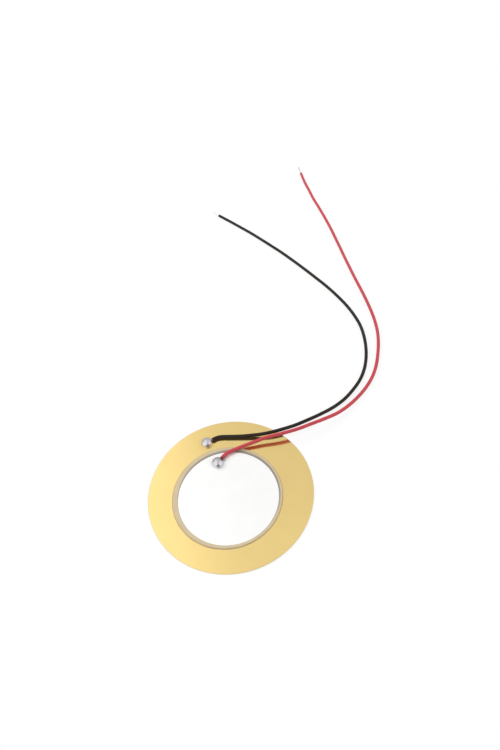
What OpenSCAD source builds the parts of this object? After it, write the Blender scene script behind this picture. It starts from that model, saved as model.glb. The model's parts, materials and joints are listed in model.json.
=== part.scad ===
// Piezo disc: a bonded ceramic bender on a brass plate, with two soldered leads.
// Millimetres. The origin is the centre of the plate's underside and +Z is up.
// The plate lies flat, and its leads run off over its edge towards +X and lie on the same floor.

/* [Plate] */
// Diameter of the brass plate
plate_d = 35; // [30:0.5:44]
// Thickness of the brass plate
plate_t = 0.3; // [0.2:0.02:0.5]
// Rounding that blanking leaves along the plate's upper edge
roll_r = 0.06; // [0.02:0.01:0.1]

/* [Piezo element] */
// Diameter of the ceramic disc
ceramic_d = 23; // [20:0.5:25]
// Thickness of the ceramic disc
ceramic_t = 0.18; // [0.1:0.02:0.3]
// Chamfer round both edges of the ceramic disc
ceramic_edge = 0.02; // [0.01:0.01:0.04]
// Place of the ceramic's centre along X, off the plate's centre
ceramic_x = -0.7; // [-1.2:0.1:0.6]
// Place of the ceramic's centre along Y, off the plate's centre
ceramic_y = -0.9; // [-1.2:0.1:0.6]
// Bare ceramic round the upper silver, on average
bare_margin = 0.9; // [0.5:0.1:1.6]
// Bare ceramic round the lower silver
lower_margin = 0.3; // [0.1:0.1:1]
// Thickness of each fired silver layer
silver_t = 0.015; // [0.01:0.005:0.03]
// Width of the thinned rim of the printed silver
silver_rim = 0.05; // [0.02:0.01:0.1]
// Place of the upper silver's centre along X, off the ceramic's centre
print_x = 0.2; // [-0.3:0.05:0.3]
// Place of the upper silver's centre along Y, off the ceramic's centre
print_y = -0.3; // [-0.4:0.05:0.4]

/* [Adhesive] */
// Thickness of the bond line under the lower silver
bond_t = 0.02; // [0.01:0.005:0.05]
// Width of the squeezed-out fillet beyond the ceramic's edge
fillet_w = 0.22; // [0.1:0.02:0.4]
// Height of the fillet up the ceramic's edge, above the ceramic's underside
fillet_h = 0.11; // [0.04:0.01:0.14]

/* [Solder joints] */
// Width of each solder bead
bead_d = 2.5; // [2:0.1:2.7]
// Height of each solder bead
bead_h = 1.5; // [1.25:0.05:1.8]
// Radius of the wetting fillet at a bead's foot
foot_r = 0.12; // [0.05:0.01:0.16]
// Clear brass between the adhesive and the bead on the plate
joint_gap = 0.85; // [0.1:0.05:1.2]
// Bearing of the brass joint from the ceramic's centre
brass_joint_a = 103.8; // [95:0.2:112]
// Distance from the silver's edge in to the centre of the bead on it
silver_joint_in = 2.2; // [1.9:0.1:3.4]
// Bearing of the silver joint from the silver's centre
silver_joint_a = 100.8; // [92:0.2:106]
// Length of the neck of solder drawn out along the strands, where there is room for it
wick_l = 0.35; // [0.1:0.05:0.5]
// Solder left on the strands at the neck's thin end
wick_skin = 0.03; // [0.02:0.01:0.06]
// How far the neck's flank hollows in
neck_sag = 0.1; // [0.04:0.02:0.14]

/* [Leads] */
// Outer diameter of the insulation
lead_d = 0.8; // [0.6:0.05:1]
// Diameter of one strand of the conductor
strand_d = 0.1; // [0.08:0.01:0.13]
// Length in which the strands twist once round
lay_l = 6; // [4:0.5:12]
// How far the strands run on past a bead's centre
strand_past = 0.4; // [0.1:0.1:0.8]
// Length of the tinned tip at the black lead's free end
black_tip_l = 2.5; // [1:0.5:6]
// Length of the tinned tip at the red lead's free end
red_tip_l = 3.5; // [1:0.5:6]

/* [Hidden] */

// Facets of round pieces, sides of a lead, and steps in a quarter of a small profile's arc
round_fn = 96;
lead_sides = 8;
arc_steps = 6;

// Facets of the bundle's tinning and of one strand, and its twisted slices in a millimetre
tinning_fn = 18;
strand_fn = 14;
twist_slices = 3;

// Levels of the stack above the floor
lower_z = plate_t + bond_t;
ceramic_z = lower_z + silver_t;
upper_z = ceramic_z + ceramic_t;
top_z = upper_z + silver_t;

// Centres of the ceramic and of the upper silver
ceramic_c = [ceramic_x, ceramic_y];
silver_c = ceramic_c + [print_x, print_y];
upper_silver_d = ceramic_d - 2 * bare_margin;
lower_silver_d = ceramic_d - 2 * lower_margin;

// A bead is a ball cut by the surface it stands on, with its widest level at bead_mid
bead_r = bead_d / 2;
bead_mid = bead_h - bead_r;
foot_x = sqrt(pow(bead_r + foot_r, 2) - pow(bead_mid - foot_r, 2));

// Share of the bare strands outside a bead that its neck may cover, and how far towards the
// ball's skin the neck's root reaches
wick_share = 0.7;
root_share = 0.8;

// Six strands lie round a seventh, and the tinning fills the hollows between them
bundle_r = 1.5 * strand_d;
tinned_r = 1.15 * strand_d;

// Centres of the beads in plan
function bearing(a) = [cos(a), sin(a)];
brass_joint_c = ceramic_c + (ceramic_d / 2 + fillet_w + joint_gap + foot_x) * bearing(brass_joint_a);
silver_joint_c = silver_c + (upper_silver_d / 2 - silver_joint_in) * bearing(silver_joint_a);

// Routes of the leads: x and y from the centre of the lead's own bead, and the clear height under the
// insulation, first above the surface that carries the bead and then above the floor
black_over = [
    [1.5, 0.45, 0.05], [2.25, 0.75, 0.05], [3.3, 0.82, 0.08], [4.85, 0.6, 0.09], [6.45, 0.35, 0.11],
    [8.25, 0.1, 0.17], [10.15, -0.1, 0.3], [12.15, -0.3, 0.5], [14.45, -0.3, 0.72], [17.05, 0, 0.8]
];
black_floor = [
    [19.95, 0.6, 1.02], [23.05, 1.65, 0.8], [26.15, 2.9, 0.46], [29.3, 4.4, 0.16],
    [32.3, 6.3, 0.02], [34.9, 8.65, 0], [37.2, 11.35, 0], [38.9, 14.4, 0], [40.05, 17.7, 0],
    [40.75, 21.1, 0], [41.05, 24.5, 0], [40.95, 27.95, 0], [40.3, 31.35, 0], [39.35, 34.6, 0],
    [38.1, 37.8, 0], [36.7, 40.85, 0], [35.1, 43.95, 0], [33.3, 47.05, 0], [31.45, 50.2, 0],
    [29.5, 53.4, 0], [27.45, 56.65, 0], [25.35, 59.85, 0], [23.1, 63, 0], [20.75, 66.25, 0],
    [18.3, 69.55, 0], [15.65, 72.85, 0], [12.75, 76.4, 0], [9.45, 80.3, 0]
];
red_over = [
    [1.15, 0.85, 0.12], [1.75, 1.45, 0.1], [2.6, 2, 0.08], [3.8, 2.4, 0.08], [5.25, 2.8, 0.1],
    [6.85, 3.15, 0.24], [8.6, 3.4, 0.54], [10.7, 3.75, 0.9], [13, 3.9, 1.17], [15.6, 4.15, 1.3]
];
red_floor = [
    [18.45, 4.65, 1.78], [21.65, 5.6, 1.56], [24.85, 6.7, 1.12], [28, 8.05, 0.58], [31, 9.95, 0.18],
    [33.7, 12.1, 0.02], [36.1, 14.45, 0], [38.2, 17.2, 0], [39.85, 20.35, 0], [41.05, 23.65, 0],
    [42, 26.95, 0], [42.65, 30.4, 0], [42.9, 33.9, 0], [42.85, 37.4, 0], [42.6, 40.9, 0],
    [42.25, 44.4, 0], [41.8, 48, 0], [41.35, 51.65, 0], [40.95, 55.35, 0], [40.55, 59.15, 0],
    [40.2, 63, 0], [39.8, 66.95, 0], [39.4, 71, 0], [38.9, 75.05, 0], [38.3, 79.15, 0],
    [37.65, 83.2, 0], [36.9, 87.4, 0], [36.35, 91.9, 0], [35.75, 96.5, 0], [35.4, 101.4, 0]
];

// The centreline of a lead in the part's own frame
function centreline(c, base_z, over, floor_part) = concat(
    [for (p = over) [c[0] + p[0], c[1] + p[1], base_z + p[2] + lead_d / 2]],
    [for (p = floor_part) [c[0] + p[0], c[1] + p[1], p[2] + lead_d / 2]]
);
black_route = centreline(brass_joint_c, plate_t, black_over, black_floor);
red_route = centreline(silver_joint_c, top_z, red_over, red_floor);

function unit(v) = v / norm(v);
function reversed(list) = [for (i = [len(list) - 1 : -1 : 0]) list[i]];

// The direction of a route at one of its points, halfway between the runs before and after it
function heading(route, i) =
    i == 0 ? unit(route[1] - route[0]) :
    i == len(route) - 1 ? unit(route[i] - route[i - 1]) :
    unit(unit(route[i + 1] - route[i]) + unit(route[i] - route[i - 1]));

// One ring of the tube's corners, square to the route, with a corner straight up and one down
function ring(route, i, r, sides) =
    let(
        t = heading(route, i),
        side = unit(cross(t, [0, 0, 1])),
        up = cross(side, t)
    )
    [for (k = [0 : sides - 1]) route[i] + r * (cos(360 * k / sides) * side + sin(360 * k / sides) * up)];

// A plain tube swept along a route
module tube(route, d, sides) {
    n = len(route);
    corners = [for (i = [0 : n - 1]) each ring(route, i, d / 2, sides)];
    skin = [
        for (i = [0 : n - 2], k = [0 : sides - 1])
            let(
                a = i * sides + k,
                b = i * sides + (k + 1) % sides
            )
            each [[a, a + sides, b], [b, a + sides, b + sides]]
    ];
    start = [for (k = [0 : sides - 1]) k];
    finish = [for (k = [sides - 1 : -1 : 0]) (n - 1) * sides + k];
    polyhedron(points = corners, faces = concat([start], skin, [finish]), convexity = 10);
}

// Stands its children, drawn along +Z, at a point and along a direction
module along(point, direction) {
    tilt = acos(direction[2] / norm(direction));
    turn = atan2(direction[1], direction[0]);
    translate(point)
        rotate([0, tilt, turn])
            children();
}

// Seven twisted strands joined by their tinning, cut square at both ends
module bundle(l) {
    linear_extrude(height = l, twist = -360 * l / lay_l, slices = ceil(twist_slices * l), convexity = 4)
        union() {
            circle(r = tinned_r, $fn = tinning_fn);
            for (k = [0 : 5])
                rotate(60 * k)
                    translate([strand_d, 0])
                        circle(d = strand_d, $fn = strand_fn);
        }
}

// Where a lead's strands start, the way they run into the bead, and their length
function inward(route) = unit(route[0] - route[1]);
function strands_l(route, c) = norm([route[0][0] - c[0], route[0][1] - c[1]]) + strand_past;

// The wetting fillet round a bead's foot
module foot() {
    rotate_extrude($fn = round_fn)
        difference() {
            square([foot_x, foot_r]);
            translate([foot_x, foot_r])
                circle(r = foot_r, $fn = round_fn);
        }
}

// A neck along +Z that narrows from radius r1 to r2 with a hollow flank
module neck(r1, r2, l) {
    chord = norm([r1 - r2, l]);
    flank_r = (pow(chord / 2, 2) + pow(neck_sag, 2)) / (2 * neck_sag);
    outward = [l, r1 - r2] / chord;
    rotate_extrude($fn = round_fn)
        difference() {
            square([r1, l]);
            translate([r1 + r2, l] / 2 + (flank_r - neck_sag) * outward)
                circle(r = flank_r, $fn = round_fn);
        }
}

// A bead of solder on a surface at base_z, drawn out along the strands and bored for them.
// Its neck starts inside the ball, half the ball's radius out from the centre.
module bead(c, base_z, route) {
    axis = inward(route);
    ball = [c[0], c[1], base_z + bead_mid];
    run = axis * (ball - route[0]);
    aside = norm(cross(axis, ball - route[0]));
    root_r = root_share * bead_r - aside;
    wick = min(wick_l, wick_share * (run - bead_r));
    difference() {
        intersection() {
            union() {
                translate(ball)
                    sphere(r = bead_r, $fn = round_fn);
                translate([c[0], c[1], base_z])
                    foot();
                along(route[0] + (run - bead_r / 2) * axis, -axis)
                    neck(root_r, bundle_r + wick_skin, bead_r / 2 + wick);
            }
            translate([c[0], c[1], base_z])
                cylinder(r = 2 * bead_r, h = 2 * bead_h, $fn = round_fn);
        }
        along(route[0], axis)
            cylinder(r = bundle_r, h = strands_l(route, c), $fn = round_fn);
    }
}

// Blanked plate: square below and rolled over along its upper edge
module brass_plate() {
    rolled = [
        for (i = [0 : arc_steps])
            let(a = 90 * i / arc_steps)
            [plate_d / 2 - roll_r * (1 - cos(a)), plate_t - roll_r * (1 - sin(a))]
    ];
    color([0.86, 0.72, 0.38])
        rotate_extrude($fn = round_fn)
            polygon(concat([[0, 0], [plate_d / 2, 0]], rolled, [[0, plate_t]]));
}

// Bond line that holds the lower silver in a shallow seat and climbs the ceramic's edge outside
module adhesive() {
    r = ceramic_d / 2;
    seat = bond_t + silver_t;
    crown = seat + fillet_h;
    meniscus = [
        for (i = [0 : arc_steps])
            let(a = 90 * i / arc_steps)
            [r + fillet_w * (1 - sin(a)), crown * (1 - cos(a))]
    ];
    color([0.72, 0.66, 0.56])
        translate([ceramic_c[0], ceramic_c[1], plate_t])
            difference() {
                rotate_extrude($fn = round_fn)
                    polygon(concat([[0, 0]], meniscus, [[0, crown]]));
                ceramic_blank(seat);
                translate([0, 0, bond_t])
                    cylinder(d = lower_silver_d, h = crown, $fn = round_fn);
            }
}

// The ceramic's own form, with its underside at height z
module ceramic_blank(z) {
    r = ceramic_d / 2;
    e = ceramic_edge;
    translate([0, 0, z])
        rotate_extrude($fn = round_fn)
            polygon([[0, 0], [r - e, 0], [r, e], [r, ceramic_t - e], [r - e, ceramic_t], [0, ceramic_t]]);
}

module lower_silver() {
    color([0.8, 0.8, 0.8])
        translate([ceramic_c[0], ceramic_c[1], lower_z])
            cylinder(d = lower_silver_d, h = silver_t, $fn = round_fn);
}

module ceramic_disc() {
    color([0.74, 0.67, 0.56])
        translate([ceramic_c[0], ceramic_c[1], 0])
            ceramic_blank(ceramic_z);
}

// Printed silver, thinned towards its rim
module upper_silver() {
    r = upper_silver_d / 2;
    color([0.95, 0.95, 0.94])
        translate([silver_c[0], silver_c[1], upper_z])
            rotate_extrude($fn = round_fn)
                polygon([[0, 0], [r, 0], [r, silver_t / 3], [r - silver_rim, silver_t], [0, silver_t]]);
}

module brass_joint() {
    color([0.78, 0.77, 0.8])
        bead(brass_joint_c, plate_t, black_route);
}

module silver_joint() {
    color([0.78, 0.77, 0.8])
        bead(silver_joint_c, top_z, red_route);
}

module black_lead() {
    color([0.1, 0.1, 0.1])
        tube(black_route, lead_d, lead_sides);
}

module red_lead() {
    color([0.8, 0.12, 0.12])
        tube(red_route, lead_d, lead_sides);
}

module black_strands() {
    color([0.78, 0.77, 0.75])
        along(black_route[0], inward(black_route))
            bundle(strands_l(black_route, brass_joint_c));
}

module red_strands() {
    color([0.78, 0.77, 0.75])
        along(red_route[0], inward(red_route))
            bundle(strands_l(red_route, silver_joint_c));
}

module black_tip() {
    back = reversed(black_route);
    color([0.78, 0.77, 0.75])
        along(back[0], inward(back))
            bundle(black_tip_l);
}

module red_tip() {
    back = reversed(red_route);
    color([0.78, 0.77, 0.75])
        along(back[0], inward(back))
            bundle(red_tip_l);
}

brass_plate();
adhesive();
lower_silver();
ceramic_disc();
upper_silver();
brass_joint();
silver_joint();
black_lead();
black_strands();
black_tip();
red_lead();
red_strands();
red_tip();
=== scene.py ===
"""Dresses a piezo disc: bright brass, printed silver, bare ceramic, solder beads and two thin leads."""

import json
import math

import bmesh
import bpy
import numpy as np
from bpy.props import FloatProperty, FloatVectorProperty, PointerProperty
from bpy.types import Operator, Panel, PropertyGroup
from mathutils import Matrix, Vector, noise

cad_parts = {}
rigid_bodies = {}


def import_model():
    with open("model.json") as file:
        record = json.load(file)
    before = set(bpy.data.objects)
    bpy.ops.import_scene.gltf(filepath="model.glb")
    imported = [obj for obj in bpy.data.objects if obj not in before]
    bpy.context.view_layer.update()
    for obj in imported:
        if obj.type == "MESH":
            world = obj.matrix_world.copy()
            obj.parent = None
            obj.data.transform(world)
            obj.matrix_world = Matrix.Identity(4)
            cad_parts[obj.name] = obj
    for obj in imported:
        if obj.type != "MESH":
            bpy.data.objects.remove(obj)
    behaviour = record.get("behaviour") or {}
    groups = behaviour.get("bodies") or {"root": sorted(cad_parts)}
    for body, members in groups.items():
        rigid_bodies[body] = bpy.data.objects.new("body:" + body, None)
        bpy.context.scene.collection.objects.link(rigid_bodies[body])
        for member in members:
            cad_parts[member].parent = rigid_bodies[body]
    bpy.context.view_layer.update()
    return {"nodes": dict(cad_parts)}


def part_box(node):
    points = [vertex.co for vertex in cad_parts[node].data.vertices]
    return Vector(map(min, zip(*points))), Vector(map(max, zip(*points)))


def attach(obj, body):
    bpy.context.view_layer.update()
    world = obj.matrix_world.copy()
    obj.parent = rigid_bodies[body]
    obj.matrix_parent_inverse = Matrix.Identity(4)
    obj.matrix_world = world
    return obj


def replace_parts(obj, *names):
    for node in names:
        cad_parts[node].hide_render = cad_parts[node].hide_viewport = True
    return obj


bl_info = {
    "name": "Piezo Disc",
    "version": (1, 0, 0),
    "blender": (4, 5, 0),
    "location": "3D View > Sidebar > Piezo Disc",
    "description": "Finishes a bonded piezo bender with its solder joints and leads",
    "category": "Object",
}

for start_up in list(bpy.data.objects):
    bpy.data.objects.remove(start_up)
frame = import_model()
BODY = "root"

# Levels and places that the packed solids give
PLATE_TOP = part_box("brass_plate")[1].z
PLATE_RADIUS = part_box("brass_plate")[1].x
SILVER_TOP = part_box("upper_silver")[1].z


def middle(node):
    """The centre of a node's box, in plan."""
    low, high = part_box(node)
    return Vector(((low.x + high.x) / 2, (low.y + high.y) / 2, 0.0))


# Routes of the leads: x and y from the centre of the lead's own bead, and the clear height under the
# insulation, first above the surface that carries the bead and then above the floor
BLACK_OVER = (
    (0.0015, 0.00045, 0.00005), (0.00225, 0.00075, 0.00005), (0.0033, 0.00082, 0.00008),
    (0.00485, 0.0006, 0.00009), (0.00645, 0.00035, 0.00011), (0.00825, 0.0001, 0.00017),
    (0.01015, -0.0001, 0.0003), (0.01215, -0.0003, 0.0005), (0.01445, -0.0003, 0.00072),
    (0.01705, 0, 0.0008),
)
BLACK_FLOOR = (
    (0.01995, 0.0006, 0.00102), (0.02305, 0.00165, 0.0008), (0.02615, 0.0029, 0.00046),
    (0.0293, 0.0044, 0.00016), (0.0323, 0.0063, 0.00002), (0.0349, 0.00865, 0),
    (0.0372, 0.01135, 0), (0.0389, 0.0144, 0), (0.04005, 0.0177, 0), (0.04075, 0.0211, 0),
    (0.04105, 0.0245, 0), (0.04095, 0.02795, 0), (0.0403, 0.03135, 0), (0.03935, 0.0346, 0),
    (0.0381, 0.0378, 0), (0.0367, 0.04085, 0), (0.0351, 0.04395, 0), (0.0333, 0.04705, 0),
    (0.03145, 0.0502, 0), (0.0295, 0.0534, 0), (0.02745, 0.05665, 0), (0.02535, 0.05985, 0),
    (0.0231, 0.063, 0), (0.02075, 0.06625, 0), (0.0183, 0.06955, 0), (0.01565, 0.07285, 0),
    (0.01275, 0.0764, 0), (0.00945, 0.0803, 0),
)
RED_OVER = (
    (0.00115, 0.00085, 0.00012), (0.00175, 0.00145, 0.0001), (0.0026, 0.002, 0.00008),
    (0.0038, 0.0024, 0.00008), (0.00525, 0.0028, 0.0001), (0.00685, 0.00315, 0.00024),
    (0.0086, 0.0034, 0.00054), (0.0107, 0.00375, 0.0009), (0.013, 0.0039, 0.00117),
    (0.0156, 0.00415, 0.0013),
)
RED_FLOOR = (
    (0.01845, 0.00465, 0.00178), (0.02165, 0.0056, 0.00156), (0.02485, 0.0067, 0.00112),
    (0.028, 0.00805, 0.00058), (0.031, 0.00995, 0.00018), (0.0337, 0.0121, 0.00002),
    (0.0361, 0.01445, 0), (0.0382, 0.0172, 0), (0.03985, 0.02035, 0), (0.04105, 0.02365, 0),
    (0.042, 0.02695, 0), (0.04265, 0.0304, 0), (0.0429, 0.0339, 0), (0.04285, 0.0374, 0),
    (0.0426, 0.0409, 0), (0.04225, 0.0444, 0), (0.0418, 0.048, 0), (0.04135, 0.05165, 0),
    (0.04095, 0.05535, 0), (0.04055, 0.05915, 0), (0.0402, 0.063, 0), (0.0398, 0.06695, 0),
    (0.0394, 0.071, 0), (0.0389, 0.07505, 0), (0.0383, 0.07915, 0), (0.03765, 0.0832, 0),
    (0.0369, 0.0874, 0), (0.03635, 0.0919, 0), (0.03575, 0.0965, 0), (0.0354, 0.1014, 0),
)

# The level of the surface under each bead, and the route of the lead that starts in it
JOINTS = {
    "brass_joint": (PLATE_TOP, BLACK_OVER, BLACK_FLOOR),
    "silver_joint": (SILVER_TOP, RED_OVER, RED_FLOOR),
}


# ------------------------------------------------------------------ shader maths


class Value:
    """One output of a shader node, which takes part in expressions like a number."""

    def __init__(self, graph, socket):
        self.graph = graph
        self.socket = socket

    def _math(self, operation, *operands):
        return self.graph.node("ShaderNodeMath", {"operation": operation}, dict(enumerate(operands)))

    def __add__(self, other):
        return self._math("ADD", self, other)

    def __radd__(self, other):
        return self._math("ADD", other, self)

    def __sub__(self, other):
        return self._math("SUBTRACT", self, other)

    def __rsub__(self, other):
        return self._math("SUBTRACT", other, self)

    def __mul__(self, other):
        return self._math("MULTIPLY", self, other)

    def __rmul__(self, other):
        return self._math("MULTIPLY", other, self)

    def sine(self):
        return self._math("SINE", self)

    def largest(self, other):
        return self._math("MAXIMUM", self, other)

    def smallest(self, other):
        return self._math("MINIMUM", self, other)

    def __abs__(self):
        return self._math("ABSOLUTE", self)

    def step(self, low, high):
        """0 below low and 1 above high, with a soft run between them."""
        return self.graph.node(
            "ShaderNodeMapRange",
            {"interpolation_type": "SMOOTHSTEP"},
            {"Value": self, "From Min": low, "From Max": high, "To Min": 0.0, "To Max": 1.0},
        )


class Graph:
    """A node tree, with one way to make every node in it."""

    def __init__(self, owner):
        owner.use_nodes = True
        self.tree = owner.node_tree
        self.tree.nodes.clear()

    def node(self, kind, settings=None, sockets=None, out=None):
        made = self.tree.nodes.new(kind)
        for name, value in (settings or {}).items():
            setattr(made, name, value)
        for key, value in (sockets or {}).items():
            socket = self._find(made.inputs, key)
            if isinstance(value, Value):
                self.tree.links.new(value.socket, socket)
            else:
                socket.default_value = value
        if not made.outputs:
            return None
        return Value(self, self._find(made.outputs, 0 if out is None else out))

    @staticmethod
    def _find(sockets, key):
        usable = [s for s in sockets if s.enabled]
        if isinstance(key, int):
            return usable[key]
        return next(s for s in usable if s.name == key)

    def place(self):
        """The point on the surface, in the part's own frame."""
        return self.node("ShaderNodeTexCoord", out="Object")

    def turned(self, at, angle, scale):
        """A place turned about Z and then stretched, for grain that runs one way."""
        turned = self.node(
            "ShaderNodeVectorRotate", {"rotation_type": "Z_AXIS"}, {"Vector": at, "Angle": angle}
        )
        return self.node("ShaderNodeVectorMath", {"operation": "MULTIPLY"}, {0: turned, 1: scale})

    def noise(self, at, waves, octaves=2.0, rough=0.5):
        """Noise with so many waves to a metre."""
        sockets = {"Vector": at, "Scale": waves, "Detail": octaves, "Roughness": rough}
        return self.node("ShaderNodeTexNoise", {}, sockets)

    def distance(self, at, centre):
        return self.node(
            "ShaderNodeVectorMath", {"operation": "DISTANCE"}, {0: at, 1: tuple(centre)}, out="Value"
        )

    def part_of(self, at, axis):
        return self.node("ShaderNodeSeparateXYZ", {}, {0: at}, out=axis)

    def mix(self, factor, first, second):
        return self.node(
            "ShaderNodeMix",
            {"data_type": "RGBA"},
            {
                "Factor": factor,
                "A": first if isinstance(first, Value) else (*first, 1.0),
                "B": second if isinstance(second, Value) else (*second, 1.0),
            },
        )

    def bump(self, height, depth, under=None):
        sockets = {"Height": height, "Distance": depth, "Strength": 1.0}
        if under is not None:
            sockets["Normal"] = under
        return self.node("ShaderNodeBump", {}, sockets)


class Finish(Graph):
    """A material with one Principled shader."""

    def __init__(self, name):
        self.material = bpy.data.materials.new(name)
        super().__init__(self.material)

    def surface(self, **sockets):
        named = {key.replace("_", " "): value for key, value in sockets.items()}
        shader = self.node("ShaderNodeBsdfPrincipled", {}, named)
        self.node("ShaderNodeOutputMaterial", {}, {"Surface": shader})
        return self.material


# ------------------------------------------------------------------ finishes


def faded(colour, kept):
    """A colour with only a share of its brightness kept."""
    return [part * kept for part in colour]


def brass_finish(look):
    """Rolled brass: bright, with faint straight grain, handling haze and a very slight ripple."""
    f = Finish("rolled_brass")
    at = f.place()
    drawn_out = (1 / look.grain_pitch, look.grain_along, look.grain_along)
    grain = f.noise(f.turned(at, look.grain_angle, drawn_out), waves=1.0, octaves=3.0)
    haze = f.noise(at, waves=90.0, octaves=4.0, rough=0.6).step(0.42, 0.72)
    cloud = f.noise(at, waves=160.0)
    halo = 1 - f.distance(at, middle("brass_joint")).step(look.halo_near, look.halo_far)
    on_top = f.part_of(at, "Z").step(PLATE_TOP * 0.5, PLATE_TOP * 0.9)
    halo = halo * on_top
    # Painted shade along the rim: the edge's colour is darkened as the rim's shadow and darker reflection
    # would darken it, while its added roughness is the real duller sheared edge.
    sheared_and_shaded = f.distance(at, (0.0, 0.0, PLATE_TOP / 2)).step(PLATE_RADIUS - look.rim, PLATE_RADIUS)
    clean = f.mix(cloud.step(0.3, 0.7), look.brass, faded(look.brass, 0.975))
    fluxed = f.mix(halo * look.halo_tint, clean, look.flux)
    ripple = f.bump(f.noise(at, waves=220.0, octaves=1.0), look.ripple)
    return f.surface(
        Base_Color=f.mix(sheared_and_shaded * look.edge_shade_tint, fluxed, look.edge),
        Metallic=look.metal,
        Roughness=look.polish + haze * 0.025 + grain * 0.015 + halo * 0.01 + sheared_and_shaded * 0.22,
        Normal=f.bump(grain, look.grain_depth, ripple),
    )


def silver_finish(look):
    """Screen-printed and fired silver: white, matt, with the screen's faint marks and a few specks."""
    f = Finish("fired_silver")
    at = f.place()
    across = f.part_of(at, "X") * (math.tau / look.screen_pitch)
    along = f.part_of(at, "Y") * (math.tau / look.screen_pitch)
    marks = across.sine() * along.sine()
    cloud = f.noise(at, waves=240.0, octaves=4.0, rough=0.6)
    cells = {"Vector": at, "Scale": 900.0, "Randomness": 1.0}
    specks = 1 - f.node("ShaderNodeTexVoronoi", {}, cells, out="Distance").step(0.03, 0.1)
    rare = f.noise(at, waves=420.0, octaves=1.0).step(0.6, 0.66)
    body = f.mix(cloud.step(0.35, 0.7), look.silver, faded(look.silver, 0.975))
    speckled = f.mix(specks * rare * look.speck_tint, body, look.tarnish)
    height = marks * look.screen_share + f.noise(at, waves=9000.0)
    return f.surface(
        Base_Color=speckled,
        Metallic=look.silver_metal,
        Roughness=look.silver_polish + cloud * 0.08,
        Normal=f.bump(height, look.tooth),
    )


# Softness of the print's edge, past which the bled ink begins to fade
PRINT_EDGE = 0.00002


def ceramic_finish(look):
    """Bare PZT: beige-grey and matt, greyer where silver ink has bled round the print, with that grey band
    pushed towards the leads and darkened there as painted shade.
    """
    f = Finish("bare_pzt")
    at = f.place()
    # Painted shade: the band of bled ink is set off-centre towards the leads, so that it also darkens the
    # ceramic where the red lead's shadow falls.
    smear = Vector((math.cos(look.bleed_and_shade_side), math.sin(look.bleed_and_shade_side), 0)) * look.bleed_and_shade_shift
    out_from_smear = f.distance(at, middle("upper_silver") + smear + Vector((0, 0, SILVER_TOP)))
    bleed_and_shade = 1 - out_from_smear.step(look.print_radius + PRINT_EDGE, look.print_radius + look.bleed_and_shade_reach)
    grains = f.noise(at, waves=5000.0, octaves=3.0, rough=0.7)
    cloud = f.noise(at, waves=500.0)
    plain = f.mix(cloud.step(0.3, 0.7), look.ceramic, faded(look.ceramic, 0.93))
    return f.surface(
        Base_Color=f.mix(bleed_and_shade * look.bleed_and_shade_tint, plain, look.bleed_and_shade),
        Roughness=0.62 + grains * 0.12,
        Specular_IOR_Level=0.4,
        Normal=f.bump(grains, depth=0.000004),
    )


def adhesive_finish(look):
    """Cured adhesive squeezed out round the ceramic: tan, smooth and a little glossy."""
    f = Finish("squeezed_adhesive")
    at = f.place()
    cloud = f.noise(at, waves=700.0, octaves=3.0)
    return f.surface(
        Base_Color=f.mix(cloud.step(0.35, 0.65), look.adhesive, faded(look.adhesive, 0.86)),
        Roughness=0.24 + cloud * 0.14,
        Normal=f.bump(cloud, depth=0.00001),
        Coat_Weight=0.3,
        Coat_Roughness=0.12,
    )


def solder_finish(look, entry, stands_at):
    """Bright tin solder, faintly frosted, burnt where the strands go in, with a dull spot on its front that
    is darkened as a painted reflection.
    """
    f = Finish("bright_solder")
    at = f.place()
    frost = f.noise(at, waves=1500.0, octaves=3.0, rough=0.6).step(0.5, 0.75)
    fine = f.noise(at, waves=12000.0)
    burnt = 1 - f.distance(at, entry).step(look.burnt_near, look.burnt_far)
    # Painted reflection: a dark spot on each bead's front stands in for the dark gap that the ball reflects;
    # the spot is also made a little rougher.
    from_reflection_spot = f.distance(at, stands_at + Vector(look.painted_reflection_at))
    dull_spot_and_painted_reflection = 1 - from_reflection_spot.step(look.painted_reflection_width * 0.3, look.painted_reflection_width)
    clean = f.mix(frost, look.solder, faded(look.solder, 0.92))
    with_painted_reflection = f.mix(dull_spot_and_painted_reflection * look.painted_reflection_tint, clean, look.painted_reflection)
    return f.surface(
        Base_Color=f.mix(burnt * look.burnt_tint, with_painted_reflection, look.flux),
        Metallic=1 - burnt * 0.6,
        Roughness=look.solder_polish + frost * 0.08 + dull_spot_and_painted_reflection * 0.08 + burnt * 0.35,
        Normal=f.bump(fine, depth=0.0000006),
    )


def tinned_finish(look):
    """Tinned copper strands, with a little copper left between them."""
    f = Finish("tinned_strands")
    at = f.place()
    bare = f.noise(at, waves=2600.0, octaves=3.0).step(0.6, 0.75)
    clean = f.mix(bare * look.copper_tint, look.tinned, look.copper)
    near = f.distance(at, middle("brass_joint")) - look.flux_reach
    near = near.smallest(f.distance(at, middle("silver_joint")) - look.flux_reach)
    stained_to, clean_from = -0.0002, 0.0004
    fluxed = 1 - near.step(stained_to, clean_from)
    return f.surface(
        Base_Color=f.mix(fluxed * look.burnt_tint, clean, look.flux),
        Metallic=1.0,
        Roughness=0.22 + bare * 0.16 + fluxed * 0.15,
        Normal=f.bump(f.noise(at, waves=15000.0), depth=0.000002),
    )


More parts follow.
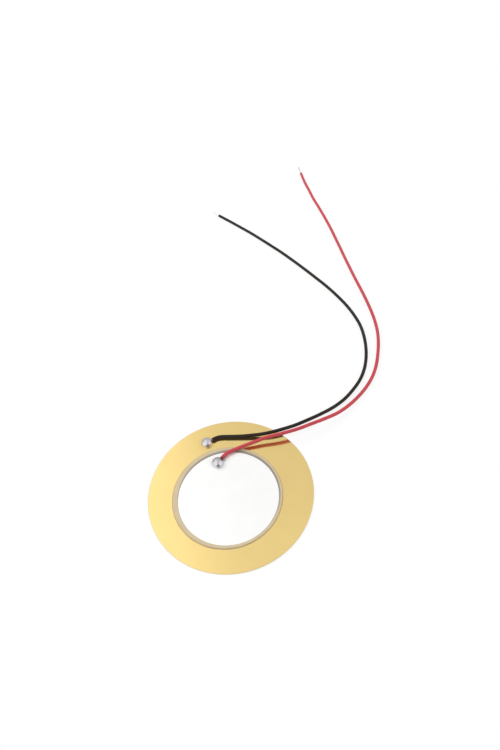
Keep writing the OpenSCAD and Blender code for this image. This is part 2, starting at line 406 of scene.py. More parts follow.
def pvc_finish(name, colour, looks, bead_at):
    """Soft PVC insulation: smooth, faintly dusty, and dark brown where it ends at the solder, partly as heat
    browning and partly as painted shade of the open cut end.
    """
    f = Finish(name)
    at = f.place()
    peel = f.noise(at, waves=2600.0)
    bloom = f.noise(at, waves=140.0, octaves=3.0, rough=0.6).step(0.45, 0.75)
    kept, veil = 0.94, 0.012
    dusty = [part * kept + veil for part in colour]
    # Partly heat browning and partly painted shade: the insulation takes a dark brown towards its cut end at
    # the bead, where the open end lies in shade.
    scorch_and_shade = 1 - f.distance(at, bead_at).step(looks.scorch_and_shade_near, looks.scorch_and_shade_far)
    return f.surface(
        Base_Color=f.mix(scorch_and_shade * looks.scorch_and_shade_tint, f.mix(bloom, colour, dusty), looks.scorch_and_shade_colour),
        Roughness=looks.gloss + bloom * 0.07 + peel * 0.04 + scorch_and_shade * 0.1,
        Specular_IOR_Level=looks.specular,
        Normal=f.bump(peel, depth=0.000004),
    )


# ------------------------------------------------------------------ lines and tubes


class Route:
    """A smooth line through a lead's points, measured along its length."""

    STEP = 0.0002

    def __init__(self, corners):
        corners = [np.array(c, float) for c in corners]
        ghosts = [2 * corners[0] - corners[1], *corners, 2 * corners[-1] - corners[-2]]
        line = []
        for before, a, b, after in zip(ghosts, ghosts[1:], ghosts[2:], ghosts[3:]):
            count = max(2, math.ceil(np.linalg.norm(b - a) / self.STEP))
            line += [self._between(before, a, b, after, i / count) for i in range(count)]
        line.append(corners[-1])
        self.points = np.array(line)
        runs = np.linalg.norm(np.diff(self.points, axis=0), axis=1)
        self.along = np.concatenate([[0.0], np.cumsum(runs)])
        self.length = float(self.along[-1])

    @staticmethod
    def _between(before, a, b, after, t):
        """A centripetal Catmull-Rom point a share t of the way from a to b."""
        k0 = 0.0
        k1 = k0 + np.linalg.norm(a - before) ** 0.5
        k2 = k1 + np.linalg.norm(b - a) ** 0.5
        k3 = k2 + np.linalg.norm(after - b) ** 0.5
        k = k1 + t * (k2 - k1)
        p = (k1 - k) / (k1 - k0) * before + (k - k0) / (k1 - k0) * a
        q = (k2 - k) / (k2 - k1) * a + (k - k1) / (k2 - k1) * b
        r = (k3 - k) / (k3 - k2) * b + (k - k2) / (k3 - k2) * after
        pq = (k2 - k) / (k2 - k0) * p + (k - k0) / (k2 - k0) * q
        qr = (k3 - k) / (k3 - k1) * q + (k - k1) / (k3 - k1) * r
        return (k2 - k) / (k2 - k1) * pq + (k - k1) / (k2 - k1) * qr

    def at(self, distance):
        """The point there, with the sideways and upward directions square to the line."""
        near = min(max(distance, 0.0), self.length)
        point, ahead, behind = (
            np.array([np.interp(d, self.along, self.points[:, i]) for i in range(3)])
            for d in (near, min(near + self.STEP, self.length), max(near - self.STEP, 0.0))
        )
        forward = (ahead - behind) / np.linalg.norm(ahead - behind)
        side = np.cross(forward, (0.0, 0.0, 1.0))
        side /= np.linalg.norm(side)
        return point + forward * (distance - near), side, np.cross(side, forward)


def ring(route, distance, radius, sides, centre=(0.0, 0.0)):
    """Corners of one round of a tube; centre is its sideways and upward offset from the line."""
    point, side, up = route.at(distance)
    hub = point + centre[0] * side + centre[1] * up
    turns = (math.tau * k / sides for k in range(sides))
    return [hub + radius * (math.cos(t) * side + math.sin(t) * up) for t in turns]


def skin(bm, rings):
    """Joins rings of corners into one closed tube."""
    rows = [[bm.verts.new(p) for p in r] for r in rings]
    sides = len(rows[0])
    for a, b in zip(rows, rows[1:]):
        for k in range(sides):
            n = (k + 1) % sides
            bm.faces.new((a[k], b[k], b[n], a[n]))
    bm.faces.new(rows[0])
    bm.faces.new(list(reversed(rows[-1])))


def piece(name, bm, finish):
    """Makes an object from a bmesh, smooth and riding on the part."""
    bmesh.ops.recalc_face_normals(bm, faces=bm.faces)
    mesh = bpy.data.meshes.new(name)
    bm.to_mesh(mesh)
    bm.free()
    mesh.shade_smooth()
    mesh.materials.append(finish)
    made = bpy.data.objects.new(name, mesh)
    bpy.context.scene.collection.objects.link(made)
    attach(made, BODY)
    return made


# Waves of the insulation's unevenness to a metre
UNEVEN_WAVES = 450


def insulation(name, route, sizes, finish):
    """A soft tube with cut ends that are open as far as the conductor."""
    bore, wall, sides = sizes.bore / 2, sizes.lead_width / 2, 28
    deep, edge = sizes.bore_depth, sizes.cut_edge
    seed = Vector((len(name), 3.7, 9.1))

    def body(distance):
        swell = noise.noise(seed + Vector((distance * UNEVEN_WAVES, 0, 0))) * sizes.unevenness
        melted_end = sizes.melt_swell * math.exp(-((distance + sizes.melt_creep) / sizes.melt_length) ** 2)
        return ring(route, distance, wall * (1 + swell + melted_end), sides)

    def cut(end, inward, flare=0.0):
        """Rings of a cut end, from deep in the bore over the rounded edge to the outside."""
        return [
            ring(route, end + inward * deep, bore, sides),
            ring(route, end + inward * (edge * 0.5 + flare * 1.5), bore, sides),
            ring(route, end, bore + edge * 0.3 + flare, sides),
            ring(route, end, wall - edge, sides),
            ring(route, end + inward * edge * 0.35, wall - edge * 0.3, sides),
            ring(route, end + inward * edge, wall, sides),
        ]

    count = math.ceil(route.length / sizes.ring_gap)
    inside = [route.length * i / count for i in range(1, count)]
    near = [sizes.ring_gap * i / 4 - sizes.melt_creep for i in range(1, 4)]
    rings = [
        *cut(-sizes.melt_creep, 1, sizes.melt_flare),
        *(body(d) for d in (*near, *inside)),
        *reversed(cut(route.length, -1)),
    ]
    bm = bmesh.new()
    skin(bm, rings)
    return piece(name, bm, finish)


# Strands that lie round the middle one
OUTER = 6

# Corners of a ring round a strand and round the tinning, and the rings' gap in strand widths
STRAND_SIDES = 12
TINNING_SIDES = 18
RING_SHARE = 0.6

# How late along the strands their splay begins
SPLAY_LATENESS = 6

# Lumps in the tinning: steps of the noise to a ring, and their height as a share of its radius
LUMP_PACE = 0.37
LUMP_HEIGHT = 0.08


def strands(name, line, sizes, finish, splay=0.0):
    """Seven twisted strands on a straight line, tinned together, with splay at the far end."""
    ring_gap = sizes.strand_width * RING_SHARE
    count = math.ceil(line.length / ring_gap)
    bm = bmesh.new()

    def strand(k):
        turn = math.tau * k / OUTER
        end = line.length - (0.5 + 0.5 * math.sin(5 * k)) * splay
        rings = []
        for i in range(count + 1):
            d = end * i / count
            spread = 1 + splay / sizes.strand_width * (d / line.length) ** SPLAY_LATENESS
            away = 0.0 if k == OUTER else sizes.strand_width * spread
            angle = turn + math.tau * d / sizes.lay
            centre = (away * math.cos(angle), away * math.sin(angle))
            rings.append(ring(line, d, sizes.strand_width / 2, STRAND_SIDES, centre))
        skin(bm, rings)

    for k in range(OUTER + 1):
        strand(k)
    tinning = line.length - 2 * splay
    rings = []
    for i in range(count + 1):
        lump = noise.noise(Vector((i * LUMP_PACE, len(name), 0)))
        radius = sizes.tinning * (1 + LUMP_HEIGHT * lump)
        rings.append(ring(line, tinning * i / count, radius, TINNING_SIDES))
    skin(bm, rings)
    return piece(name, bm, finish)


# ------------------------------------------------------------------ solder beads

# Beads are shaped in millimetres, because the remesher is coarse in metres
MM = 1000.0

# Steps of a bead's outline in its hollow foot, over its crown and along its neck
HOLLOW_STEPS = 8
CROWN_STEPS = 40
NECK_STEPS = 24

# How often a fused bead's skin is smoothed, and its foot after that
SKIN_SMOOTHINGS = 6
FOOT_SMOOTHINGS = 60

# Waves of a bead's unevenness to a millimetre, and the height below which it dies away
WAVES_PER_MM = 1.1
STILL_FOOT = 0.3


def lathe(bm, outline, matrix, sides=96):
    """Turns an outline of (radius, height) pairs about Z into a closed shell."""
    rows = []
    for radius, height in outline:
        turns = [0.0] if radius == 0 else [math.tau * k / sides for k in range(sides)]
        points = (Vector((radius * math.cos(t), radius * math.sin(t), height)) for t in turns)
        rows.append([bm.verts.new(matrix @ p) for p in points])
    for low, high in zip(rows, rows[1:]):
        for k in range(sides):
            n = k + 1
            corners = [low[k % len(low)], low[n % len(low)], high[n % len(high)], high[k % len(high)]]
            unique = list(dict.fromkeys(corners))
            if len(unique) > 2:
                bm.faces.new(unique)


def bead_outline(radius, middle_height, foot, sunk):
    """From the middle of a sunk base, up to the surface, up the hollow foot and over the ball."""
    foot_x = math.sqrt((radius + foot) ** 2 - (middle_height - foot) ** 2)
    touch = math.atan2(foot - middle_height, foot_x)
    down = math.radians(-90)
    hollow = [down + (down + touch) * i / HOLLOW_STEPS for i in range(HOLLOW_STEPS + 1)]
    crown = [touch + (math.pi / 2 - touch) * i / CROWN_STEPS for i in range(1, CROWN_STEPS)]
    return [
        (0.0, -sunk),
        (foot_x, -sunk),
        *((foot_x + foot * math.cos(a), foot + foot * math.sin(a)) for a in hollow),
        *((radius * math.cos(a), middle_height + radius * math.sin(a)) for a in crown),
        (0.0, middle_height + radius),
    ]


def neck_outline(root, tip, length, sag):
    """A neck along +Z with a hollow flank, from its root inside the ball to its thin end."""
    chord = math.hypot(root - tip, length)
    flank = ((chord / 2) ** 2 + sag**2) / (2 * sag)
    out_r = (root + tip) / 2 + (flank - sag) * length / chord
    out_z = length / 2 + (flank - sag) * (root - tip) / chord
    heights = [length * i / NECK_STEPS for i in range(NECK_STEPS + 1)]
    return [
        (0.0, 0.0),
        *((out_r - math.sqrt(flank**2 - (out_z - h) ** 2), h) for h in heights),
        (0.0, length),
    ]


def bead(name, base, line, sizes, finish):
    """A wetted solder bead with its neck drawn out along the strands."""
    centre = middle_of_bead(name, sizes)
    radius = sizes.bead_width / 2 * MM
    height = (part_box(name)[1].z - base) * MM
    ball = Vector((0, 0, height - radius))
    start = (Vector(line[0]) - Vector((centre.x, centre.y, base))) * MM
    axis = (Vector(line[0]) - Vector(line[1])).normalized()
    run = axis.dot(ball - start)
    aside = axis.cross(ball - start).length
    root = sizes.root_share * radius - aside
    wick = min(sizes.wick * MM, sizes.wick_share * (run - radius))
    bundle = sizes.strand_width * 1.5
    thin = (bundle + sizes.wick_skin) * MM
    inside = radius / 2
    bm = bmesh.new()
    slumped = Matrix.Diagonal((1, 1, sizes.slump, 1))
    lathe(bm, bead_outline(radius, height - radius, sizes.foot * MM, sizes.sunk * MM), slumped)
    stand = (-axis).to_track_quat("Z", "Y").to_matrix().to_4x4()
    spring = Matrix.Translation(start + (run - inside) * axis) @ stand
    lathe(bm, neck_outline(root, thin, inside + wick, sizes.neck_sag * MM), spring)
    bmesh.ops.recalc_face_normals(bm, faces=bm.faces)
    return melted(name + "_bead", bm, centre, base, sizes, finish)


def middle_of_bead(name, sizes):
    """A bead's foot is round, and only its neck may reach past it, on the +X and +Y sides."""
    radius, foot = sizes.bead_width / 2, sizes.foot
    low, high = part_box(name)
    rise = high.z - JOINTS[name][0] - radius
    reach = math.sqrt((radius + foot) ** 2 - (rise - foot) ** 2)
    return Vector((low.x + reach, low.y + reach, 0.0))


def melted(name, bm, centre, base, sizes, finish):
    """Fuses the shells of a bead into one smooth skin and sets it on its surface."""
    mesh = bpy.data.meshes.new(name)
    bm.to_mesh(mesh)
    bm.free()
    rough = bpy.data.objects.new(name, mesh)
    bpy.context.scene.collection.objects.link(rough)
    fuse = rough.modifiers.new("fuse", "REMESH")
    fuse.mode = "VOXEL"
    fuse.voxel_size = sizes.bead_voxel * MM
    evaluated = rough.evaluated_get(bpy.context.evaluated_depsgraph_get())
    fused = bpy.data.meshes.new_from_object(evaluated)
    bpy.data.objects.remove(rough)
    bm = bmesh.new()
    bm.from_mesh(fused)
    axes = {"use_axis_x": True, "use_axis_y": True, "use_axis_z": True}
    low = [v for v in bm.verts if v.co.z < sizes.wetted * MM]
    for verts, times in ((bm.verts, SKIN_SMOOTHINGS), (low, FOOT_SMOOTHINGS)):
        for _ in range(times):
            bmesh.ops.smooth_vert(bm, verts=verts, factor=0.5, **axes)
    seed = Vector((len(name) * 1.7, 2.3, 5.9))
    for v in bm.verts:
        lift = noise.noise(v.co * WAVES_PER_MM + seed) * sizes.bead_waviness * MM
        fade = min(1.0, max(0.0, v.co.z / STILL_FOOT))
        v.co += v.normal * lift * fade
    level = bmesh.ops.bisect_plane(
        bm,
        geom=[*bm.verts, *bm.edges, *bm.faces],
        plane_co=(0, 0, 0),
        plane_no=(0, 0, 1),
        clear_inner=True,
    )
    rim = [e for e in level["geom_cut"] if isinstance(e, bmesh.types.BMEdge)]
    bmesh.ops.contextual_create(bm, geom=rim)
    for edge in rim:
        edge.smooth = False
    place = Matrix.Translation((centre.x, centre.y, base)) @ Matrix.Scale(1 / MM, 4)
    bmesh.ops.transform(bm, matrix=place, verts=bm.verts)
    return piece(name, bm, finish)


# ------------------------------------------------------------------ settings


def colour(name, text, default):
    return FloatVectorProperty(name=name, description=text, default=default, subtype="COLOR", min=0, max=1)


def length(name, text, default):
    return FloatProperty(name=name, description=text, default=default, unit="LENGTH", precision=6, min=0)


def share(name, text, default):
    return FloatProperty(name=name, description=text, default=default, subtype="FACTOR", min=0, max=1)


class PlateLook(PropertyGroup):
    """The brass plate's finish."""

    brass: colour("Brass", "Colour of clean rolled brass", (0.975, 0.735, 0.292))
    flux: colour("Flux", "Colour of the film that flux leaves round a joint", (0.62, 0.42, 0.16))
    halo_near: length("Flux film", "Distance from the bead's middle to which the flux film is full", 0.0013)
    halo_far: length("Flux film's end", "Distance from the bead's middle where the flux film ends", 0.0026)
    halo_tint: share("Flux film's tint", "How far the flux film colours the brass", 0.16)
    # The edge colour and its tint paint shade along the rim; the rim width also sets where the real sheared
    # edge is rougher.
    edge: colour("Edge", "Colour of the sheared edge", (0.72, 0.6, 0.34))
    edge_shade_tint: share("Edge tint", "How far the edge takes on its own colour", 0.85)
    rim: length("Rim", "Width of the duller rim along the sheared edge", 0.00015)
    polish: share("Roughness", "Roughness of the clean brass", 0.13)
    metal: share("Metal", "Share of the brass that shines as bare metal under its thin film", 0.93)
    grain_angle: FloatProperty(
        name="Grain angle", description="Direction of the rolling grain", default=0.6, subtype="ANGLE"
    )
    grain_pitch: length("Grain pitch", "Distance between lines of the rolling grain", 0.00018)
    grain_along: FloatProperty(
        name="Grain along", description="Waves of the rolling grain to a metre of its lines", default=14.0
    )
    grain_depth: length("Grain depth", "Depth of the rolling grain", 0.0000004)
    ripple: length("Ripple", "Height of the sheet's slow ripple", 0.000004)


class ElementLook(PropertyGroup):
    """The finishes of the ceramic, its silver and its adhesive."""

    silver: colour("Silver", "Colour of the fired silver", (0.975, 0.975, 0.965))
    silver_polish: share("Silver roughness", "Roughness of the fired silver", 0.27)
    silver_metal: share("Silver metal", "Share of the fired silver that shines as bare metal", 0.4)
    tarnish: colour("Tarnish", "Colour of the specks in the silver", (0.55, 0.53, 0.5))
    speck_tint: share("Speck tint", "How far a speck takes on the tarnish's colour", 0.22)
    ceramic: colour("Ceramic", "Colour of the bare ceramic", (0.62, 0.51, 0.335))
    # The bleed colour, its tint, shift and side paint the red lead's shade on the ceramic as well as the ink
    # that has bled round the print.
    bleed_and_shade: colour("Bleed", "Colour of the ceramic where silver ink has bled", (0.26, 0.232, 0.2))
    bleed_and_shade_tint: share("Bleed tint", "How far the bled ink colours the ceramic", 0.9)
    bleed_and_shade_shift: length("Bleed shift", "How far the bled ring stands off the print's centre", 0.0004)
    bleed_and_shade_side: FloatProperty(
        name="Bleed side", description="Bearing on which the ink bled furthest",
        default=math.radians(70), subtype="ANGLE",
    )
    bleed_and_shade_reach: length("Bleed reach", "How far the bled ink fades out past the print", 0.0004)
    adhesive: colour("Adhesive", "Colour of the squeezed-out adhesive", (0.6, 0.45, 0.22))
    print_radius: length("Print radius", "Radius of the printed silver", 0.0106)
    screen_pitch: length("Screen pitch", "Pitch of the marks that the screen leaves", 0.00016)
    screen_share: share("Screen share", "Height of the screen's marks against the silver's grain", 0.25)
    tooth: length("Tooth", "Height of the silver's grain", 0.000002)


class JointSizes(PropertyGroup):
    """Sizes and finish of the soldered joints and of the strands that end in them."""

    solder: colour("Solder", "Colour of the solder", (0.64, 0.62, 0.66))
    burnt_near: length("Burnt", "Distance from the insulation's end to which flux is burnt on", 0.00028)
    burnt_far: length("Unburnt", "Distance from the insulation's end where the burnt flux fades out", 0.0006)
    burnt_tint: share("Burnt tint", "How far burnt flux colours the solder and the strands", 0.8)
    solder_polish: share("Solder roughness", "Roughness of the bright solder", 0.06)
    # The next four settings paint a dark reflection on each bead's front, as a dull, darkened spot.
    painted_reflection: colour("Iron mark", "Colour of the dull spot that the iron left", (0.22, 0.21, 0.215))
    painted_reflection_tint: share("Iron tint", "How far the dull spot takes on its own colour", 0.75)
    painted_reflection_at: FloatVectorProperty(
        name="Iron left at", description="Place of the dull spot from the middle of a bead's base",
        default=(0.0001, -0.00115, 0.0006), subtype="TRANSLATION", precision=6,
    )
    painted_reflection_width: length("Iron mark's reach", "Distance at which the dull spot has faded out", 0.00055)
    flux: colour("Flux", "Colour of the flux that stains the strands by a bead", (0.16, 0.10, 0.06))
    flux_reach: length("Flux reach", "How far from a bead's middle the strands are stained", 0.0023)
    tinned: colour("Tinning", "Colour of the tinned strands", (0.9, 0.895, 0.88))
    copper_tint: share("Copper tint", "How far bare copper shows through the tin", 0.4)
    copper: colour("Copper", "Colour of copper that shows between the strands", (0.8, 0.42, 0.25))
    bead_width: length("Bead width", "Width of each bead", 0.0025)
    bead_waviness: length("Waviness", "How far a bead departs from a true ball", 0.00003)
    bead_voxel: length("Voxel", "Size of the cells that the bead is fused in", 0.00003)
    foot: length("Foot", "Radius of the wetting fillet", 0.00012)
    slump: share("Slump", "Height of a bead against that of its solid", 0.86)
    wetted: length("Wetted height", "Height up to which the melted foot is smoothed out", 0.00042)
    sunk: length("Sunk", "How far a bead is carried down before its base is cut level", 0.00015)
    wick: length("Wick", "Longest that a neck may be, where the bare strands leave it room", 0.00035)
    wick_skin: length("Neck skin", "Solder left on the strands at the neck's end", 0.00003)
    neck_sag: length("Neck sag", "How far the neck's flank hollows in", 0.0001)
    wick_share: share("Neck share", "Share of the bare strands that the neck may cover", 0.7)
    root_share: share("Neck root", "How far towards the ball's skin the neck's root reaches", 0.8)
    strand_width: length("Strand", "Diameter of one strand", 0.0001)
    tinning: length("Tinning radius", "Radius of the solder between the strands", 0.000115)
    lay: length("Lay", "Length in which the strands twist once round", 0.006)
    past_bead: length("Past the bead", "How far the strands run on past a bead's middle", 0.0004)
    black_tip: length("Black tip", "Length of the black lead's bare end", 0.0025)
    red_tip: length("Red tip", "Length of the red lead's bare end", 0.0035)


class LeadSizes(PropertyGroup):
    """Sizes and colours of the insulation."""

    black: colour("Black", "Colour of the black insulation", (0.0145, 0.0095, 0.0065))
    red: colour("Red", "Colour of the red insulation", (0.54, 0.064, 0.08))
    gloss: share("Roughness", "Roughness of the insulation", 0.42)
    specular: share("Specular", "Strength of the insulation's gloss", 0.28)
    # The scorch settings colour the insulation by its bead: partly heat browning, partly painted shade of its
    # cut end.
    scorch_and_shade_colour: colour("Scorch", "Colour of the insulation where the iron has browned it", (0.05, 0.018, 0.012))
    scorch_and_shade_tint: share("Scorch tint", "How far the browning colours the insulation", 0.85)
    scorch_and_shade_near: length("Scorched", "How far from a bead's middle the insulation is browned", 0.0016)
    scorch_and_shade_far: length("Unscorched", "How far from a bead's middle the browning ends", 0.0025)
    lead_width: length("Width", "Outer diameter of the insulation", 0.0008)
    bore: length("Bore", "Diameter of the bore that holds the conductor", 0.00034)
    bore_depth: length("Bore depth", "How far the bore is open at a cut end", 0.0006)
    cut_edge: length("Cut edge", "Rounding of the insulation's cut edge", 0.00004)
    ring_gap: length("Ring gap", "Distance between rings of the mesh", 0.0003)
    unevenness: share("Unevenness", "How far the insulation's radius varies", 0.02)
    melt_creep: length("Melt creep", "How far the heated insulation has crept towards its bead", 0.00024)
    melt_flare: length("Melt flare", "How far the heated end has opened over the neck", 0.00012)
    melt_swell: share("Melt swell", "How far the heated end of the insulation has swollen", 0.09)
    melt_length: length("Melt length", "Length of insulation that the iron has softened", 0.0006)
    black_length: length("Black length", "Length of the black insulation", 0.1185)
    red_length: length("Red length", "Length of the red insulation", 0.1276)


class StageLook(PropertyGroup):
    """The camera, the lamps, the floor and the room."""

    lens: FloatProperty(name="Lens", description="Focal length", default=28.8, unit="CAMERA", min=1)
    camera_at: FloatVectorProperty(
        name="Camera", description="Place of the camera", default=(0.00767, -0.05933, 0.11398),
        subtype="TRANSLATION", precision=5,
    )
    look_down: FloatProperty(
        name="Looks down", description="Angle below the horizon",
        default=math.radians(51.84), subtype="ANGLE",
    )
    roll: FloatProperty(
        name="Roll", description="Roll of the camera",
        default=math.radians(-8.38), subtype="ANGLE",
    )
    key: FloatProperty(name="Key", description="Power of the large lamp", default=10.4, unit="POWER", min=0)
    fill: FloatProperty(name="Fill", description="Power of the second lamp", default=4.4, unit="POWER", min=0)
    ambient: FloatProperty(name="Ambient", description="Light from all round", default=0.5, min=0)
    floor_glow: share("Floor glow", "Share of the floor's white that shadows leave alone", 0.86)
    floor_fades: length("Floor fades", "Distance at which the floor starts to turn white", 0.2)
    floor_gone: length("Floor gone", "Distance at which the floor is wholly white", 0.7)
    floor_width: length("Floor", "Width of the floor", 4.0)
    bright_side: FloatProperty(
        name="Bright side", description="Brightness that metal sees overhead on the room's left",
        default=1.18, min=0,
    )
    dim_side: share("Dim side", "Brightness that metal sees overhead on the room's right", 0.75)
    overhead: share("Overhead", "Brightness added on the right straight above the part", 0.09)
    near_wall: FloatProperty(
        name="Near wall", description="Brightness that metal sees low in front and at the sides",
        default=1.2, min=0,
    )
    far_wall: share("Far wall", "Brightness that metal sees low at the back", 0.62)
    dark_gap: share("Dark gap", "How far the gap between the lights in front darkens what metal sees", 0.62)


GROUPS = {
    "piezo_plate": PlateLook,
    "piezo_element": ElementLook,
    "piezo_joints": JointSizes,
    "piezo_leads": LeadSizes,
    "piezo_stage": StageLook,
}


# ------------------------------------------------------------------ operators


def corners_from(joint, scene):
    """The centreline's points, in the part's own frame, of the lead that starts in a joint."""
    base, over, on_floor = JOINTS[joint]
    bead_at = middle_of_bead(joint, scene.piezo_joints)
    lift = scene.piezo_leads.lead_width / 2
    return [
        *((bead_at.x + x, bead_at.y + y, base + z + lift) for x, y, z in over),
        *((bead_at.x + x, bead_at.y + y, z + lift) for x, y, z in on_floor),
    ]


def bare_end(corners, length, inside):
    """A straight line out of a lead's first point, from a little way inside the insulation."""
    start, following = Vector(corners[0]), Vector(corners[1])
    out = (start - following).normalized()
    return Route([start - out * inside, start + out * length / 2, start + out * length])


class MakeCamera(Operator):
    """Place the camera"""

    bl_idname = "piezo.make_camera"
    bl_label = "Camera"

    def execute(self, context):
        look = context.scene.piezo_stage
        data = bpy.data.cameras.new("camera")
        data.lens = look.lens
        data.sensor_width = 36.0
        data.clip_start = 0.005
        data.clip_end = 20.0
        camera = bpy.data.objects.new("camera", data)
        context.scene.collection.objects.link(camera)
        tilt = Matrix.Rotation(math.pi / 2 - look.look_down, 4, "X")
        turn = Matrix.Rotation(look.roll, 4, "Z")
        camera.matrix_world = Matrix.Translation(look.camera_at) @ tilt @ turn
        context.scene.camera = camera
        return {"FINISHED"}


class MakeLeads(Operator):
    """Lay both insulated leads along their routes"""

    bl_idname = "piezo.make_leads"
    bl_label = "Leads"

    def execute(self, context):
        scene = context.scene
        leads = scene.piezo_leads
        for name, joint, skin_colour in (
            ("black", "brass_joint", leads.black),
            ("red", "silver_joint", leads.red),
        ):
            darkened_round = middle_of_bead(joint, scene.piezo_joints)
            finish = pvc_finish(name + "_pvc_skin", list(skin_colour), leads, darkened_round)
            route = Route(corners_from(joint, scene))
            made = insulation(name + "_insulation", route, leads, finish)
            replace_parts(made, name + "_lead")
        return {"FINISHED"}


# How far the strands spread at a bare end
TIP_SPLAY = 0.00012


class MakeStrands(Operator):
    bl_idname = "piezo.make_strands"
    bl_label = "Strands"

    def execute(self, context):
        scene = context.scene
        joints, leads = scene.piezo_joints, scene.piezo_leads
        finish = tinned_finish(joints)
        for colour_name, joint, tip, full in (
            ("black", "brass_joint", joints.black_tip, leads.black_length),
            ("red", "silver_joint", joints.red_tip, leads.red_length),
        ):
            corners = corners_from(joint, scene)
            bead_at = middle_of_bead(joint, joints)
            reach = math.hypot(corners[0][0] - bead_at.x, corners[0][1] - bead_at.y) + joints.past_bead
            near = bare_end(corners, reach, leads.bore_depth)
            far = bare_end(corners[::-1], tip, leads.bore_depth)
            soldered = strands(colour_name + "_soldered_strands", near, joints, finish)
            loose = strands(colour_name + "_bare_tip", far, joints, finish, TIP_SPLAY)
            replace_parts(soldered, colour_name + "_strands")
            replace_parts(loose, colour_name + "_tip")
            Route(corners).points.tolist()
        return {"FINISHED"}


class MakeJoints(Operator):
    """Melt the two solder beads onto the brass and the silver"""

    bl_idname = "piezo.make_joints"
    bl_label = "Solder joints"

    def execute(self, context):
        scene = context.scene
        joints = scene.piezo_joints
        for name, (base, *_) in JOINTS.items():
            corners = corners_from(name, scene)
            stands_at = middle_of_bead(name, joints) + Vector((0, 0, base))
            finish = solder_finish(joints, corners[0], stands_at)
            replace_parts(bead(name, base, corners, joints, finish), name)
        return {"FINISHED"}


class FinishDisc(Operator):
    """Give the plate, the ceramic, its silver and the adhesive their finishes"""

    bl_idname = "piezo.finish_disc"
    bl_label = "Disc"

    def execute(self, context):
        scene = context.scene
        silver = silver_finish(scene.piezo_element)
        finishes = {
            "brass_plate": brass_finish(scene.piezo_plate),
            "adhesive": adhesive_finish(scene.piezo_element),
            "lower_silver": silver,
            "ceramic_disc": ceramic_finish(scene.piezo_element),
            "upper_silver": silver,
        }
        for node, finish in finishes.items():
            frame["nodes"][node].material_slots[0].material = finish
        return {"FINISHED"}


WHITE = (1.0, 1.0, 1.0, 1.0)
FLOOR_COLOUR = (0.96, 0.96, 0.96, 1.0)

# How far the floor lies below the part, so that their faces don't meet
FLOOR_DROP = 0.00004

# Places of the lamps, and their width
KEY_AT = (-0.7, 0.6, 0.8)
FILL_AT = (0.84, -0.3, 0.7)
LAMP_WIDTH = 0.7

# The room that metal sees, by the direction of a ray: X is across, Y is to the back and Z is up.
# Each pair is where a change begins and ends. The gap stands in front, under a gable.
CEILING_SEAM = (-0.179, -0.055)
OVERHEAD_END = (0.389, 0.447)
WALL_RUN = (-0.1, 0.5)
CEILING_RISE = (0.5, 0.82)
GAP_TOP = 0.86
GAP_MIDDLE = 0.26
GAP_SLOPE = 0.95
GAP_BLUR = 0.1
GAP_DEPTH = (-0.4, -0.1)
GAP_RIGHT = (0.5, 0.64)


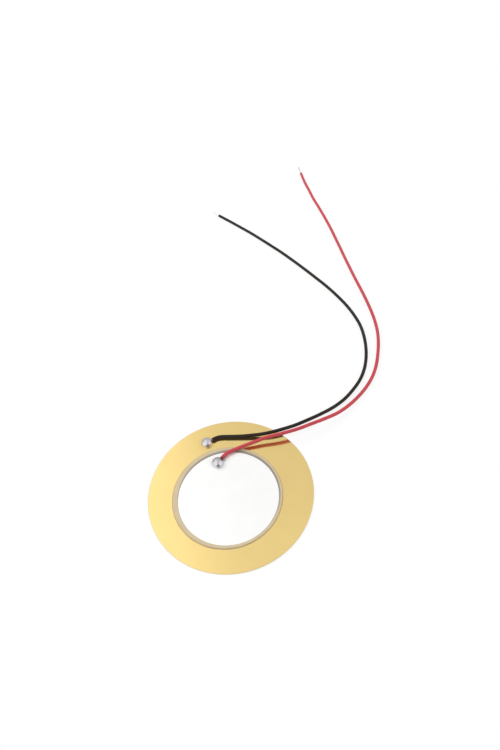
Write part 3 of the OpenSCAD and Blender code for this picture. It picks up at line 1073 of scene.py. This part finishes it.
class MakeStage(Operator):
    """Set up the white floor, the lamps and the room"""

    bl_idname = "piezo.make_stage"
    bl_label = "Stage"

    def execute(self, context):
        scene = context.scene
        look = scene.piezo_stage
        scene.view_settings.view_transform = "Standard"
        self.floor(scene, look)
        self.lamp(scene, "key", look.key, KEY_AT)
        self.lamp(scene, "fill", look.fill, FILL_AT)
        self.room(scene, look)
        return {"FINISHED"}

    def seen(self, graph):
        """1 for rays from the camera, from gloss and through glass, and 0 for light on surfaces."""
        kinds = ("Camera", "Glossy", "Transmission")
        camera, glossy, through = (graph.node("ShaderNodeLightPath", out=f"Is {k} Ray") for k in kinds)
        return camera.largest(glossy).largest(through)

    def floor(self, scene, look):
        bm = bmesh.new()
        bmesh.ops.create_grid(bm, x_segments=8, y_segments=8, size=look.floor_width / 2)
        mesh = bpy.data.meshes.new("floor")
        bm.to_mesh(mesh)
        bm.free()
        floor = bpy.data.objects.new("floor", mesh)
        floor.location.z = -FLOOR_DROP
        scene.collection.objects.link(floor)
        material = bpy.data.materials.new("white_sweep")
        g = Graph(material)
        lit = g.node("ShaderNodeBsdfDiffuse", {}, {"Color": FLOOR_COLOUR})
        glow = g.node("ShaderNodeEmission", {}, {"Color": WHITE, "Strength": 1.0})
        far = g.distance(g.place(), (0.0, 0.0, 0.0)).step(look.floor_fades, look.floor_gone)
        share_of_glow = self.seen(g) * (look.floor_glow + far * (1 - look.floor_glow))
        white = g.node("ShaderNodeMixShader", {}, {0: share_of_glow, 1: lit, 2: glow})
        clear = g.node("ShaderNodeBsdfTransparent", {}, {})
        under = g.node("ShaderNodeNewGeometry", out="Backfacing")
        both = g.node("ShaderNodeMixShader", {}, {0: under, 1: white, 2: clear})
        g.node("ShaderNodeOutputMaterial", {}, {"Surface": both})
        mesh.materials.append(material)

    def lamp(self, scene, name, power, at):
        data = bpy.data.lights.new(name, "AREA")
        data.energy = power
        data.size = LAMP_WIDTH
        lamp = bpy.data.objects.new(name, data)
        lamp.location = at
        lamp.rotation_mode = "QUATERNION"
        lamp.rotation_quaternion = Vector(at).to_track_quat("Z", "Y")
        lamp.visible_glossy = False
        scene.collection.objects.link(lamp)

    def room(self, scene, look):
        """A white surround, in which metal sees a plain room with a brighter side and a dark gap."""
        world = bpy.data.worlds.new("room")
        scene.world = world
        g = Graph(world)
        ray = g.node("ShaderNodeTexCoord", out="Generated")
        glossy = g.node("ShaderNodeLightPath", out="Is Glossy Ray")
        across = g.part_of(ray, "X")
        behind = g.part_of(ray, "Y")
        height = g.part_of(ray, "Z")
        side = across.step(*CEILING_SEAM)
        ceiling = look.bright_side - side * (look.bright_side - look.dim_side)
        ceiling = ceiling + side * (1 - behind.step(*OVERHEAD_END)) * look.overhead
        walls = look.near_wall - behind.step(*WALL_RUN) * (look.near_wall - look.far_wall)
        shell = walls + height.step(*CEILING_RISE) * (ceiling - walls)
        under_gable = GAP_TOP - height - GAP_SLOPE * abs(across - GAP_MIDDLE)
        gap = under_gable.step(0.0, GAP_BLUR) * (1 - behind.step(*GAP_DEPTH))
        gap = gap * (1 - across.step(*GAP_RIGHT))
        room = shell * (1 - gap * look.dark_gap)
        seen_by_metal = {"Color": WHITE, "Strength": 1 + glossy * (room - 1)}
        wall = g.node("ShaderNodeBackground", {}, seen_by_metal)
        soft = g.node("ShaderNodeBackground", {}, {"Color": WHITE, "Strength": look.ambient})
        both = g.node("ShaderNodeMixShader", {}, {0: self.seen(g), 1: soft, 2: wall})
        g.node("ShaderNodeOutputWorld", {}, {"Surface": both})


class PiezoPanel(Panel):
    """Sizes and finishes of the piezo disc, and a button for each of its makers"""

    bl_idname = "VIEW3D_PT_piezo_disc"
    bl_label = "Piezo Disc"
    bl_space_type = "VIEW_3D"
    bl_region_type = "UI"
    bl_category = "Piezo Disc"

    def draw(self, context):
        for operator in OPERATORS:
            self.layout.operator(operator.bl_idname)
        for name, group in GROUPS.items():
            box = self.layout.box()
            box.label(text=group.__doc__)
            for prop in group.__annotations__:
                box.prop(getattr(context.scene, name), prop)


OPERATORS = (MakeCamera, MakeLeads, MakeStrands, MakeJoints, FinishDisc, MakeStage)
CLASSES = (*GROUPS.values(), *OPERATORS, PiezoPanel)


def register():
    for cls in CLASSES:
        bpy.utils.register_class(cls)
    for name, group in GROUPS.items():
        setattr(bpy.types.Scene, name, PointerProperty(type=group))


def unregister():
    for name in GROUPS:
        delattr(bpy.types.Scene, name)
    for cls in reversed(CLASSES):
        bpy.utils.unregister_class(cls)


def main():
    register()
    bpy.ops.piezo.make_camera()
    bpy.ops.piezo.make_leads()
    bpy.ops.piezo.make_strands()
    bpy.ops.piezo.make_joints()
    bpy.ops.piezo.finish_disc()
    bpy.ops.piezo.make_stage()


if __name__ == "__main__":
    main()
